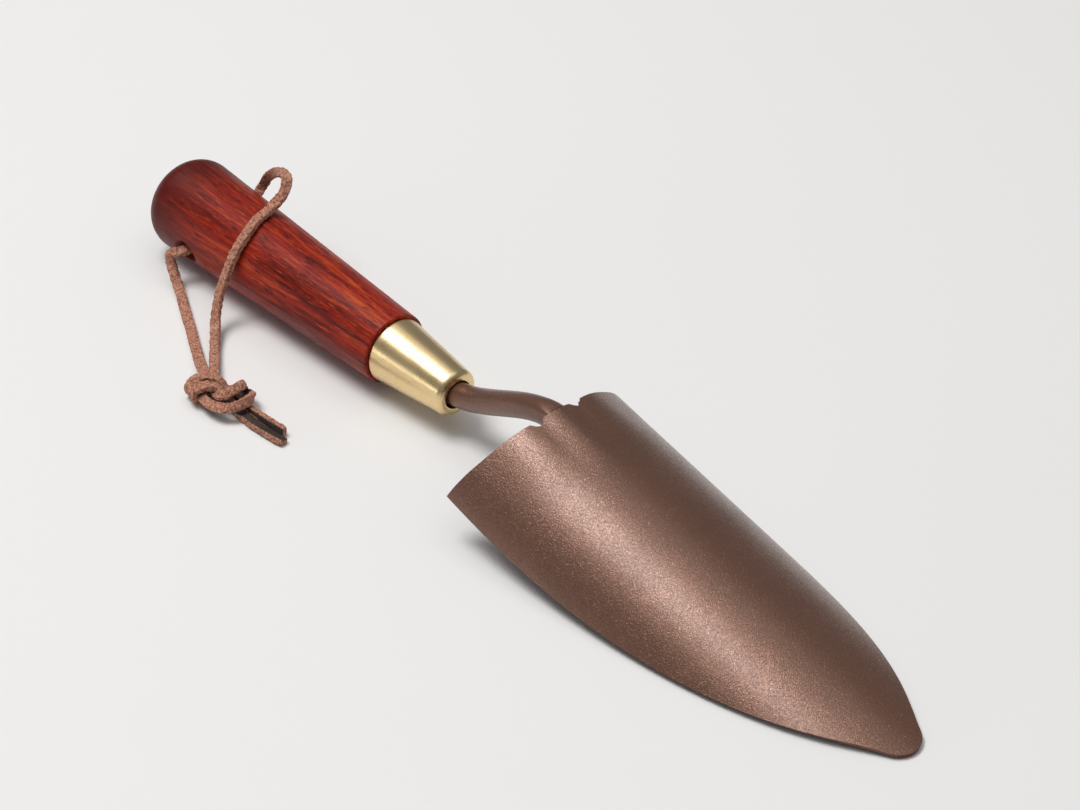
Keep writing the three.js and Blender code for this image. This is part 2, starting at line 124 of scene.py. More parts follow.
def length(name, description, default):
    """A length property, given in millimetres and kept in metres."""
    return bpy.props.FloatProperty(
        name=name, description=description, default=default * MM, min=0, unit="LENGTH",
        subtype="DISTANCE", precision=5)


def angle(name, description, default):
    """An angle property, given in degrees and kept in radians."""
    return bpy.props.FloatProperty(
        name=name, description=description, default=radians(default), subtype="ANGLE")


def colour(name, description, default):
    """A colour property."""
    return bpy.props.FloatVectorProperty(
        name=name, description=description, default=default, size=3, min=0, max=1,
        subtype="COLOR")


class TrowelSizes(bpy.types.PropertyGroup):
    """The trowel's driving dimensions."""

    handle_length: length("Handle length", "From the butt to the shoulder", 112)
    handle_tilt: angle("Handle tilt", "How far the handle dips towards the ferrule", 1)
    butt_radius: length("Butt radius", "Thickest radius of the handle", 16)
    butt_flat: length("Butt flat", "Radius of the flat at the butt", 6)
    butt_dome: length("Butt dome", "Length of the rounded butt", 9)
    shoulder_radius: length("Shoulder radius", "Radius of the handle at the ferrule", 11.9)
    shoulder_round: length("Shoulder round", "Rounding of the handle's front edge", 0.8)
    tang_depth: length("Tang depth", "How far the rod goes into the wood", 70)
    lace_hole_at: length("Lace hole", "Distance of the lace hole from the butt", 23.5)
    lace_hole: length("Lace hole radius", "Radius of the bore across the handle", 3.2)
    lace_mouth: length("Lace mouth radius", "Radius of the flare at each end of the bore", 7.5)
    lace_flare: length("Lace mouth depth", "Depth of the flare", 5)
    lace_hole_roll: angle("Lace hole roll", "How far the near mouth lies below the far one", 16)
    ferrule_length: length("Ferrule length", "Along the handle's axis", 30)
    ferrule_rear: length("Ferrule rear radius", "Where it meets the wood", 10.8)
    ferrule_front: length("Ferrule front radius", "At the rod", 7.9)
    ferrule_nose: length("Ferrule nose round", "Rounding of the front edge", 2.2)
    ferrule_wall: length("Ferrule wall", "Thickness of the socket's wall", 1.2)
    ferrule_socket: length("Ferrule socket", "Depth that the spigot fills", 22)
    bore_gap: length("Bore gap", "Gap around the rod at the ferrule's mouth", 0.75)
    fit: length("Fit", "Gap between pieces that touch", 0.3)
    rod_radius: length("Rod radius", "Radius of the steel bar", 4)
    neck_rise: length("Neck rise", "From the ferrule's bore to the blade", 15.6)
    neck_inset: length("Bend inset", "The bend starts this far inside the ferrule", 4)
    neck_rear_pull: length("Rear pull", "Handle length of the bend at the ferrule", 16)
    neck_front_pull: length("Front pull", "Handle length of the bend at the blade", 12.3)
    neck_dive: angle("Neck dive", "How steeply the rod goes under the blade", 28)
    rod_entry: length("Rod entry", "Where the bend ends, ahead of the rear edge", 2)
    rod_overlap: length("Rod overlap", "Length of rod under the blade", 26)
    rod_swell: length("Rod swell", "Where the rod starts to rise to the tongue", 9)
    blade_length: length("Blade length", "Along the crown", 145)
    blade_half_width: length("Blade half width", "At the rear corners", 35)
    sheet: length("Sheet thickness", "Thickness of the blade", 1.5)
    arch_depth: length("Arch depth", "How far the long edges lie below the crown line", 20.64)
    crown_height: length("Crown height", "Top of the blade at its rear edge", 32.75)
    corner_sweep: length("Corner sweep", "How far the rear corners reach back", 9)
    side_pull: length("Side pull", "How far the sides run on before they draw in", 113)
    side_flare: angle("Side flare", "How far the sides open at the rear corners", 1.5)
    tip_pull: length("Tip pull", "How far the sides run straight into the tip", 18)
    tip_radius: length("Tip radius", "Radius of the round tip", 7.8)
    tip_arc: angle("Tip arc", "Half angle of the round tip", 62)
    swage_height: length("Ridge height", "Ridge pressed up over the rod", 1.5)
    swage_length: length("Ridge length", "How far the ridge runs out", 30)
    swage_width: length("Ridge half width", "Half width of the ridge", 8)
    flat_height: length("Flat height", "How far the arch is flattened beside the ridge", 1.1)
    flat_length: length("Flat length", "How far the flatter bands run out", 25)
    flat_width: length("Flat half width", "Where the flatter bands end, from the crown", 26)
    notch_centre: length("Notch centre", "Distance of each notch from the crown", 7.4)
    notch_width: length("Notch width", "Width of the notches beside the tongue", 4.2)
    notch_depth: length("Notch depth", "Depth from the rear edge", 1.8)
    edge_round: length("Edge round", "Bulge of the blade's coated edge", 0.3)
    weld_radius: length("Weld radius", "Radius of the beads under the blade", 1.8)
    weld_start: length("Weld start", "From the rear edge of the blade", 5)
    weld_length: length("Weld length", "Length of each bead", 18)
    weld_pitch: length("Weld pitch", "Distance between the ripples of a bead", 1.5)
    lace_width: length("Lace width", "Width of the flat lace", 3.2)
    lace_thickness: length("Lace thickness", "Thickness of the flat lace", 2)
    lace_fuzz: length("Lace fuzz", "Roughness of the suede side", 0.08)


class TrowelColours(bpy.types.PropertyGroup):
    """The trowel's colours."""

    wood_dark: colour("Dark grain", "Darkest streaks of the wood", (0.040, 0.003, 0.002))
    wood_red: colour("Red wood", "The stained wood between its streaks", (0.275, 0.015, 0.006))
    # The wood is mixed towards this darker colour near the butt.
    wood_butt_tone: colour("Butt tone", "The darker wood around the butt", (0.062, 0.004, 0.003))
    wood_orange: colour("Orange grain", "Lightest streaks of the wood", (0.58, 0.10, 0.012))
    brass: colour("Brass", "The ferrule", (0.82, 0.62, 0.335))
    coat: colour("Coat", "The copper-brown coat on rod and blade", (0.165, 0.076, 0.047))
    # Painted glint: the coat's metal flakes are lightened towards this colour to stand in for their
    # sparkle.
    coat_painted_glint: colour("Coat painted glint", "Metal flakes in the coat", (0.52, 0.34, 0.27))
    suede: colour("Suede", "The rough side of the lace", (0.335, 0.134, 0.084))
    suede_light: colour("Light suede", "Raised fibres", (0.62, 0.31, 0.20))
    smooth_leather: colour("Smooth side", "The smooth side of the lace", (0.022, 0.013, 0.010))
    adhesive: colour("Adhesive", "The adhesive around the tang", (0.50, 0.45, 0.33))
    floor: colour("Floor", "The bench", (0.80, 0.79, 0.775))


def layout():
    """The driving dimensions, with the places that follow from them and from the frame."""
    sizes = bpy.context.scene.trowel_sizes
    s = SimpleNamespace(**{key: getattr(sizes, key) for key in TrowelSizes.__annotations__})
    s.tip_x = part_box("blade")[1].x
    s.butt_x = -s.tip_x
    s.butt_z = s.butt_radius * cos(s.handle_tilt) + s.butt_dome * sin(s.handle_tilt)
    s.blade_x = s.tip_x - s.blade_length
    s.rake = (s.crown_height - s.sheet) / s.blade_length
    s.arch_radius = (s.blade_half_width ** 2 + s.arch_depth ** 2) / (2 * s.arch_depth)
    s.nose_at = s.handle_length + s.ferrule_length
    return s


# ---------------------------------------------------------------- mesh helpers

def make_object(name, grids, body, attributes=None):
    """A smooth mesh object from grids of points, (rows, columns, 3) arrays in metres.

    Each cell of a grid is a face. Rows or columns that meet, and poles where a whole row
    falls in one point, are merged, and faces are turned outwards.
    """
    points = np.concatenate([grid.reshape(-1, 3) for grid in grids])
    faces = []
    start = 0
    for grid in grids:
        rows, columns = grid.shape[:2]
        index = start + np.arange(rows * columns).reshape(rows, columns)
        cells = [index[:-1, :-1], index[:-1, 1:], index[1:, 1:], index[1:, :-1]]
        faces.append(np.stack(cells, -1).reshape(-1, 4))
        start += rows * columns
    mesh = bpy.data.meshes.new(name)
    mesh.from_pydata(points.tolist(), [], np.concatenate(faces).tolist())
    for key, values in (attributes or {}).items():
        layer = mesh.attributes.new(key, "FLOAT", "POINT")
        layer.data.foreach_set("value", np.asarray(values, np.float32).ravel())
    edit = bmesh.new()
    edit.from_mesh(mesh)
    bmesh.ops.remove_doubles(edit, verts=edit.verts, dist=2e-6)
    bmesh.ops.dissolve_degenerate(edit, edges=edit.edges, dist=1e-7)
    bmesh.ops.recalc_face_normals(edit, faces=edit.faces)
    edit.to_mesh(mesh)
    edit.free()
    mesh.polygons.foreach_set("use_smooth", np.ones(len(mesh.polygons), bool))
    mesh.set_sharp_from_angle(angle=radians(40))
    made = bpy.data.objects.new(name, mesh)
    bpy.context.scene.collection.objects.link(made)
    if body:
        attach(made, body)
    return made


def bezier(controls, steps):
    """Points of a Bezier cubic: the four controls weighted by the Bernstein polynomials."""
    t = np.linspace(0, 1, steps)[:, None]
    a, b, c, d = (np.asarray(point, float) for point in controls)
    return (1 - t) ** 3 * a + 3 * t * (1 - t) ** 2 * b + 3 * t ** 2 * (1 - t) * c + t ** 3 * d


def even_steps(points, step):
    """The same polyline with points every `step` along it, as near as whole steps allow."""
    lengths = np.linalg.norm(np.diff(points, axis=0), axis=1)
    run = np.concatenate([[0], np.cumsum(lengths)])
    keep = np.concatenate([[True], lengths > 1e-9])
    marks = np.linspace(0, run[-1], max(2, round(run[-1] / step) + 1))
    return np.stack([np.interp(marks, run[keep], points[keep, k]) for k in range(3)], -1)


def smooth_line(stations, steps):
    """A Catmull-Rom spline through the stations, `steps` points for each stretch."""
    p = np.asarray(stations, float)
    p = np.concatenate([[2 * p[0] - p[1]], p, [2 * p[-1] - p[-2]]])
    t = np.linspace(0, 1, steps, endpoint=False)[None, :, None]
    a, b, c, d = (p[k:len(p) - 3 + k, None, :] for k in range(4))
    curve = 0.5 * (2 * b + (c - a) * t + (2 * a - 5 * b + 4 * c - d) * t ** 2
                   + (3 * b - a - 3 * c + d) * t ** 3)
    return np.concatenate([curve.reshape(-1, p.shape[1]), p[-2:-1]])


def directions(points):
    """Unit tangents along a line of points, from central differences."""
    tangents = np.gradient(points, axis=0)
    return tangents / np.linalg.norm(tangents, axis=1, keepdims=True)


def blurred_noise(rows, columns, row_blur, column_blur, seed):
    """Seeded white noise under a Gaussian blur, wrapping round, scaled to a spread of 1."""
    noise = np.random.default_rng(seed).standard_normal((rows, columns))
    row_wave = np.fft.fftfreq(rows)[:, None] * row_blur
    column_wave = np.fft.fftfreq(columns)[None, :] * column_blur
    blur = np.exp(-2 * np.pi ** 2 * (row_wave ** 2 + column_wave ** 2))
    soft = np.fft.ifft2(np.fft.fft2(noise) * blur).real
    return soft / soft.std()


def turned_on_grip(s, profile, sides):
    """A surface of revolution about the handle's tilted axis.

    The profile holds (radius, distance from the butt) pairs. Column k stands at the angle
    k / sides of a turn, and the last column repeats the first.
    """
    radius, distance = np.asarray(profile, float).T[:, :, None]
    turn = np.linspace(0, tau, sides + 1)[None, :]
    across = radius * np.cos(turn)
    up = radius * np.sin(turn)
    along = distance + 0 * turn
    x = s.butt_x + along * cos(s.handle_tilt) + up * sin(s.handle_tilt)
    z = s.butt_z - along * sin(s.handle_tilt) + up * cos(s.handle_tilt)
    return np.stack([x, across, z], -1)


def profile_arc(centre, radii, start, end, steps):
    """Points of an ellipse's arc in a profile; angles in degrees, 0 points away from the axis."""
    turn = np.radians(np.linspace(start, end, steps))
    return [(centre[0] + radii[0] * np.cos(t), centre[1] + radii[1] * np.sin(t)) for t in turn]


def profile_line(start, end, steps):
    """Evenly spaced points of a straight stretch of a profile, without its last point."""
    return [tuple(p) for p in np.linspace(start, end, steps + 1)[:-1]]


# ---------------------------------------------------------------- material helpers

def add_node(tree, kind, inputs=None, **settings):
    """A new node. An input given as a socket is linked, anything else is its value."""
    made = tree.nodes.new(kind)
    for key, value in settings.items():
        setattr(made, key, value)
    for key, value in (inputs or {}).items():
        if isinstance(value, bpy.types.NodeSocket):
            tree.links.new(value, made.inputs[key])
        else:
            made.inputs[key].default_value = value
    return made


def new_material(name, constants):
    """A material with only a Principled BSDF, given its constants: material, tree, shader."""
    material = bpy.data.materials.new(name)
    material.use_nodes = True
    tree = material.node_tree
    tree.nodes.clear()
    output = tree.nodes.new("ShaderNodeOutputMaterial")
    shader = add_node(tree, "ShaderNodeBsdfPrincipled", constants)
    tree.links.new(shader.outputs["BSDF"], output.inputs["Surface"])
    return material, tree, shader


def new_group(name, inputs, outputs):
    """A node group with named sockets, (name, kind) or (name, kind, default) each."""
    group = bpy.data.node_groups.new(name, "ShaderNodeTree")
    for socket, kind, *default in inputs:
        made = group.interface.new_socket(name=socket, in_out="INPUT", socket_type=kind)
        if default:
            made.default_value = default[0]
    for socket, kind in outputs:
        group.interface.new_socket(name=socket, in_out="OUTPUT", socket_type=kind)
    return group, group.nodes.new("NodeGroupInput"), group.nodes.new("NodeGroupOutput")


def rgba(values):
    """A colour with full alpha."""
    return (*values, 1.0)


def ramp(tree, factor, stops):
    """A colour ramp's colour output; stops are (position, colour)."""
    made = add_node(tree, "ShaderNodeValToRGB", {"Fac": factor})
    while len(made.color_ramp.elements) < len(stops):
        made.color_ramp.elements.new(0.5)
    for element, (position, value) in zip(made.color_ramp.elements, stops):
        element.position = position
        element.color = rgba(value)
    return made.outputs["Color"]


def remap(tree, value, low, high, to_low, to_high):
    """A value mapped from one range to another, smoothly and clamped."""
    inputs = {"Value": value, 1: low, 2: high, 3: to_low, 4: to_high}
    return add_node(tree, "ShaderNodeMapRange", inputs,
                    interpolation_type="SMOOTHSTEP").outputs["Result"]


def mix_colour(tree, factor, first, second):
    """The two colours mixed."""
    return add_node(tree, "ShaderNodeMix", {0: factor, 6: first, 7: second},
                    data_type="RGBA").outputs[2]


def darkened(tree, factor, tone, share):
    """A colour mixed towards a share of itself."""
    return mix_colour(tree, factor, rgba(tone), rgba([share * c for c in tone]))


def math_node(tree, operation, first, second=0.0):
    """One arithmetic step."""
    return add_node(tree, "ShaderNodeMath", {0: first, 1: second},
                    operation=operation).outputs[0]


def weighted(tree, *terms):
    """The sum of values times their weights; each term is (value, weight)."""
    products = [math_node(tree, "MULTIPLY", value, weight) for value, weight in terms]
    total = products[0]
    for product in products[1:]:
        total = math_node(tree, "ADD", total, product)
    return total


def noise_at(tree, vector, scale, detail=3.0, roughness=0.5, distortion=0.0):
    """A noise texture's factor at the given vector; scale is waves per metre."""
    inputs = {"Vector": vector, "Scale": scale, "Detail": detail, "Roughness": roughness,
              "Distortion": distortion}
    return add_node(tree, "ShaderNodeTexNoise", inputs).outputs["Fac"]


def stretched(tree, vector, scale, location=(0, 0, 0), rotation=(0, 0, 0)):
    """The vector after a Mapping node."""
    inputs = {"Vector": vector, "Scale": scale, "Location": location, "Rotation": rotation}
    return add_node(tree, "ShaderNodeMapping", inputs).outputs["Vector"]


def object_coordinates(tree):
    """Object coordinates, which are the frame's own metres on every finished piece."""
    return add_node(tree, "ShaderNodeTexCoord").outputs["Object"]


def put_on(piece, material):
    """Gives a piece its material."""
    piece.data.materials.clear()
    piece.data.materials.append(material)


# ---------------------------------------------------------------- shared surface effects

def coat_grain_group():
    """Wrinkled orange peel and metal flakes of a baked coat, at a given grain size; the flake mask
    also places painted glints.
    """
    name = "Coat grain"
    if name in bpy.data.node_groups:
        return bpy.data.node_groups[name]
    group, source, result = new_group(
        name,
        [("Vector", "NodeSocketVector"), ("Grain", "NodeSocketFloat", 1400.0)],
        [("Height", "NodeSocketFloat"), ("Flakes and glints", "NodeSocketFloat")])
    vector = source.outputs["Vector"]
    grain = source.outputs["Grain"]
    peel = noise_at(group, vector, grain, 1.0, 0.5, 1.2)
    wrinkle = math_node(group, "ABSOLUTE", math_node(group, "SUBTRACT", peel, 0.5))
    fine = noise_at(group, vector, math_node(group, "MULTIPLY", grain, 2.3), 1.0, 0.5)
    height = weighted(group, (fine, 0.4), (wrinkle, -2.2))
    flake = add_node(group, "ShaderNodeTexVoronoi",
                     {"Vector": vector, "Scale": math_node(group, "MULTIPLY", grain, 2.0)})
    speck = add_node(group, "ShaderNodeSeparateColor", {"Color": flake.outputs["Color"]})
    # Flake spots: they lower the roughness and place the painted glints.
    flake_glint_spots = remap(group, speck.outputs[0], 0.72, 0.98, 0.0, 1.0)
    group.links.new(height, result.inputs["Height"])
    group.links.new(flake_glint_spots, result.inputs["Flakes and glints"])
    return group


def handling_group():
    """Faint smudges and rubbed patches from handling: a soft mask from 0 to 1."""
    name = "Handling"
    if name in bpy.data.node_groups:
        return bpy.data.node_groups[name]
    group, source, result = new_group(
        name,
        [("Vector", "NodeSocketVector"), ("Patch size", "NodeSocketFloat", 60.0)],
        [("Mask", "NodeSocketFloat")])
    patches = noise_at(group, source.outputs["Vector"], source.outputs["Patch size"], 4.0, 0.6, 0.4)
    group.links.new(remap(group, patches, 0.35, 0.7, 0.0, 1.0), result.inputs["Mask"])
    return group


def rubbed_patches(tree, vector, patch_size):
    """The handling group's mask; patch size is in waves per metre."""
    return add_node(tree, "ShaderNodeGroup", {"Vector": vector, "Patch size": patch_size},
                    node_tree=handling_group()).outputs["Mask"]


def set_bump(tree, shader, height, distance, strength):
    """Feeds a height into the shader's normal through a Bump node; distance in metres."""
    bump = add_node(tree, "ShaderNodeBump",
                    {"Height": height, "Distance": distance, "Strength": strength})
    tree.links.new(bump.outputs["Normal"], shader.inputs["Normal"])


def set_surface(tree, shader, base, rough):
    """Feeds the shader's base colour and roughness."""
    tree.links.new(base, shader.inputs["Base Color"])
    tree.links.new(rough, shader.inputs["Roughness"])


# ---------------------------------------------------------------- materials

def stained_wood(s, colours):
    """Red-stained hardwood under a satin varnish, its grain along the handle's axis.

    Noise stretched along the grain gives streaks, bands and a slow wander, whose weighted sum
    runs through a ramp from dark to orange. Fine fibres and dark pores lie on top, and the
    wood darkens towards the butt.
    """
    material, tree, shader = new_material(
        "Stained wood", {"Coat Weight": 0.05, "Coat Roughness": 0.22, "Specular IOR Level": 0.16})
    place = object_coordinates(tree)
    along = stretched(tree, place, (1, 1, 1), rotation=(0, s.handle_tilt, 0))

    def grain(waves_along, waves_across, detail, roughness, distortion=0.0, location=(0, 0, 0)):
        vector = stretched(tree, along, (waves_along, waves_across, waves_across), location)
        return noise_at(tree, vector, 1.0, detail, roughness, distortion)

    wander = grain(14, 60, 2.0, 0.5)
    streaks = grain(20, 760, 5.0, 0.66, 0.1)
    bands = grain(9, 170, 3.0, 0.55, 0.3)
    fibres = grain(75, 2300, 3.0, 0.6)
    pores = grain(160, 1700, 1.0, 0.5, location=(0.3, 0.2, 0))
    dark, red, orange = colours.wood_dark, colours.wood_red, colours.wood_orange
    body = ramp(tree, weighted(tree, (streaks, 0.55), (bands, 0.30), (wander, 0.15)), [
        (0.36, dark), (0.45, [0.5 * (a + b) for a, b in zip(dark, red)]), (0.52, red),
        (0.60, [0.6 * a + 0.4 * b for a, b in zip(red, orange)]), (0.72, orange)])
    body = mix_colour(tree, remap(tree, fibres, 0.57, 0.70, 0.0, 0.65), body, rgba(orange))
    pore = remap(tree, pores, 0.60, 0.70, 0.0, 0.75)
    body = mix_colour(tree, pore, body, rgba(dark))
    lengthwise = add_node(tree, "ShaderNodeSeparateXYZ", {"Vector": along}).outputs["X"]
    # Darker towards the butt.
    butt_end = remap(tree, lengthwise, s.butt_x + 4 * MM, s.butt_x + 38 * MM, 0.92, 0.0)
    body = mix_colour(tree, butt_end, body, rgba(colours.wood_butt_tone))
    rubbed = rubbed_patches(tree, place, 70.0)
    set_surface(tree, shader, body, remap(tree, rubbed, 0.0, 1.0, 0.40, 0.50))
    set_bump(tree, shader, weighted(tree, (fibres, 0.4), (pore, -1.0)), 0.04 * MM, 0.35)
    return material


def satin_brass(s, colours):
    """Turned brass with fine lathe rings and a satin polish."""
    material, tree, shader = new_material("Satin brass", {"Metallic": 1.0})
    along = stretched(tree, object_coordinates(tree), (1, 1, 1), rotation=(0, s.handle_tilt, 0))
    rings = noise_at(tree, stretched(tree, along, (6500, 60, 60)), 1.0, 2.0, 0.6)
    grit = noise_at(tree, along, 3200.0, 2.0, 0.6)
    rubbed = rubbed_patches(tree, along, 110.0)
    shade = darkened(tree, remap(tree, rubbed, 0.0, 1.0, 0.0, 0.35), colours.brass, 0.93)
    rough = math_node(tree, "ADD", remap(tree, grit, 0.3, 0.7, 0.25, 0.29),
                      remap(tree, rubbed, 0.0, 1.0, 0.0, 0.05))
    set_surface(tree, shader, shade, rough)
    set_bump(tree, shader, weighted(tree, (rings, 1.0), (grit, 0.8)), 0.002 * MM, 0.5)
    return material


def baked_coat(name, colours, grain, depth, roughness, flakes):
    """Copper-brown baked coat. Grain is waves per metre, depth the height of its orange peel. Flakes
    is the share of painted glint mixed in at the metal flakes.
    """
    material, tree, shader = new_material(
        name, {"Metallic": 0.5, "Coat Weight": 0.35, "Coat Roughness": 0.25})
    place = object_coordinates(tree)
    surface = add_node(tree, "ShaderNodeGroup", {"Vector": place, "Grain": grain},
                       node_tree=coat_grain_group())
    flake_glint_mask = surface.outputs["Flakes and glints"]
    rubbed = rubbed_patches(tree, place, 45.0)
    base = darkened(tree, remap(tree, rubbed, 0.0, 1.0, 0.0, 0.5), colours.coat, 0.84)
    # Painted glint: the flake spots are lightened towards the glint colour.
    base = mix_colour(tree, math_node(tree, "MULTIPLY", flake_glint_mask, flakes), base,
                      rgba(colours.coat_painted_glint))
    dull = remap(tree, rubbed, 0.0, 1.0, roughness, roughness + 0.05)
    set_surface(tree, shader, base, weighted(tree, (dull, 1.0), (flake_glint_mask, -0.12)))
    set_bump(tree, shader, surface.outputs["Height"], depth, 1.0)
    return material


def suede_leather(colours):
    """Split leather: rough and fibrous all round but for one smooth, dark face."""
    material, tree, shader = new_material(
        "Suede leather", {"Sheen Weight": 0.08, "Sheen Roughness": 0.5})
    smooth = add_node(tree, "ShaderNodeAttribute", attribute_name="smooth_face").outputs["Fac"]
    place = object_coordinates(tree)
    nap = noise_at(tree, place, 2300.0, 3.0, 0.75)
    clump = noise_at(tree, place, 900.0, 2.0, 0.6)
    rough_side = ramp(tree, weighted(tree, (nap, 0.6), (clump, 0.4)), [
        (0.38, [0.3 * c for c in colours.suede]), (0.47, colours.suede),
        (0.60, colours.suede_light)])
    smooth_side = ramp(tree, clump, [
        (0.35, colours.smooth_leather), (0.7, [2.2 * c for c in colours.smooth_leather])])
    set_surface(tree, shader, mix_colour(tree, smooth, rough_side, smooth_side),
                remap(tree, smooth, 0.0, 1.0, 0.95, 0.5))
    relief = math_node(tree, "MULTIPLY", nap, remap(tree, smooth, 0.0, 1.0, 1.0, 0.15))
    set_bump(tree, shader, relief, 0.25 * MM, 0.9)
    return material


def set_adhesive(colours):
    """Cured adhesive, cloudy and slightly glossy."""
    material, tree, shader = new_material(
        "Set adhesive", {"Coat Weight": 0.2, "Coat Roughness": 0.3})
    cloud = noise_at(tree, object_coordinates(tree), 300.0, 3.0, 0.5)
    set_surface(tree, shader, darkened(tree, cloud, colours.adhesive, 0.6),
                remap(tree, cloud, 0.3, 0.7, 0.4, 0.6))
    set_bump(tree, shader, cloud, 0.1 * MM, 0.5)
    return material


def bench_top(colours):
    """Plain pale bench with a soft sheen."""
    material, tree, shader = new_material("Bench", {"Specular IOR Level": 0.3})
    speckle = noise_at(tree, object_coordinates(tree), 40.0, 4.0, 0.6)
    shade = darkened(tree, remap(tree, speckle, 0.3, 0.7, 0.0, 0.25), colours.floor, 0.98)
    set_surface(tree, shader, shade, remap(tree, speckle, 0.3, 0.7, 0.55, 0.62))
    return material


# ---------------------------------------------------------------- stage

CAMERA_AZIMUTH = radians(47.6634)
CAMERA_ELEVATION = radians(37.583)
CAMERA_ROLL = radians(-0.6473)
CAMERA_PLACE = (0.516673, -0.458320, 0.555054)
CAMERA_LENS = 97.71  # focal length and sensor in millimetres
SENSOR_WIDTH = 36
BENCH_HALF = 3.0  # metres
SKY_COLOUR = (0.86, 0.87, 0.90, 1)
SKY_STRENGTH = 0.26


def make_camera():
    """A level camera turned by azimuth and elevation, with a small roll about its own axis."""
    a, e = CAMERA_AZIMUTH, CAMERA_ELEVATION
    back = Vector((sin(a) * cos(e), -cos(a) * cos(e), sin(e)))
    level_right = Vector((cos(a), sin(a), 0))
    level_up = back.cross(level_right)
    right = cos(CAMERA_ROLL) * level_right - sin(CAMERA_ROLL) * level_up
    up = sin(CAMERA_ROLL) * level_right + cos(CAMERA_ROLL) * level_up
    data = bpy.data.cameras.new("camera")
    data.sensor_fit = "HORIZONTAL"
    data.sensor_width = SENSOR_WIDTH
    data.lens = CAMERA_LENS
    data.clip_start = 0.01
    camera = bpy.data.objects.new("camera", data)
    turn = Matrix((right, up, back)).transposed().to_4x4()
    camera.matrix_world = Matrix.Translation(CAMERA_PLACE) @ turn
    bpy.context.scene.collection.objects.link(camera)
    bpy.context.scene.camera = camera


def make_softbox(name, towards, distance, width, height, power):
    """An area light that shines at the origin from a direction; metres and watts."""
    data = bpy.data.lights.new(name, "AREA")
    data.shape = "RECTANGLE"
    data.size = width
    data.size_y = height
    data.energy = power
    light = bpy.data.objects.new(name, data)
    place = Vector(towards).normalized() * distance
    light.matrix_world = Matrix.Translation(place) @ place.to_track_quat("Z", "Y").to_matrix().to_4x4()
    bpy.context.scene.collection.objects.link(light)


def make_stage(colours):
    """Camera, pale bench, soft studio light."""
    make_camera()
    x, y = np.meshgrid([-BENCH_HALF, BENCH_HALF], [-BENCH_HALF, BENCH_HALF], indexing="ij")
    bench = make_object("bench", [np.stack([x, y, 0 * x], -1)], None)
    bench.data.materials.append(bench_top(colours))
    make_softbox("overhead_softbox", (-0.29, -0.19, 0.94), 2.2, 0.95, 0.95, 31)
    make_softbox("side_strip", (-0.43, -0.89, 0.16), 1.3, 0.9, 0.13, 1.1)
    make_softbox("ceiling_panel", (0, 0, 1), 2.4, 3, 3, 21)
    world = bpy.data.worlds.new("studio")
    world.use_nodes = True
    sky = world.node_tree.nodes["Background"]
    sky.inputs["Color"].default_value = SKY_COLOUR
    sky.inputs["Strength"].default_value = SKY_STRENGTH
    bpy.context.scene.world = world
    bpy.context.scene.view_settings.view_transform = "Standard"


# ---------------------------------------------------------------- lace

def face_hints(route, faces):
    """For every station, which way the smooth face looks, in even steps between listed ones."""
    stations = sorted(faces)
    listed = np.array([faces[k] for k in stations], float)
    index = np.arange(len(route))
    hints = np.stack([np.interp(index, stations, listed[:, k]) for k in range(3)], -1)
    return hints / np.linalg.norm(hints, axis=1, keepdims=True)


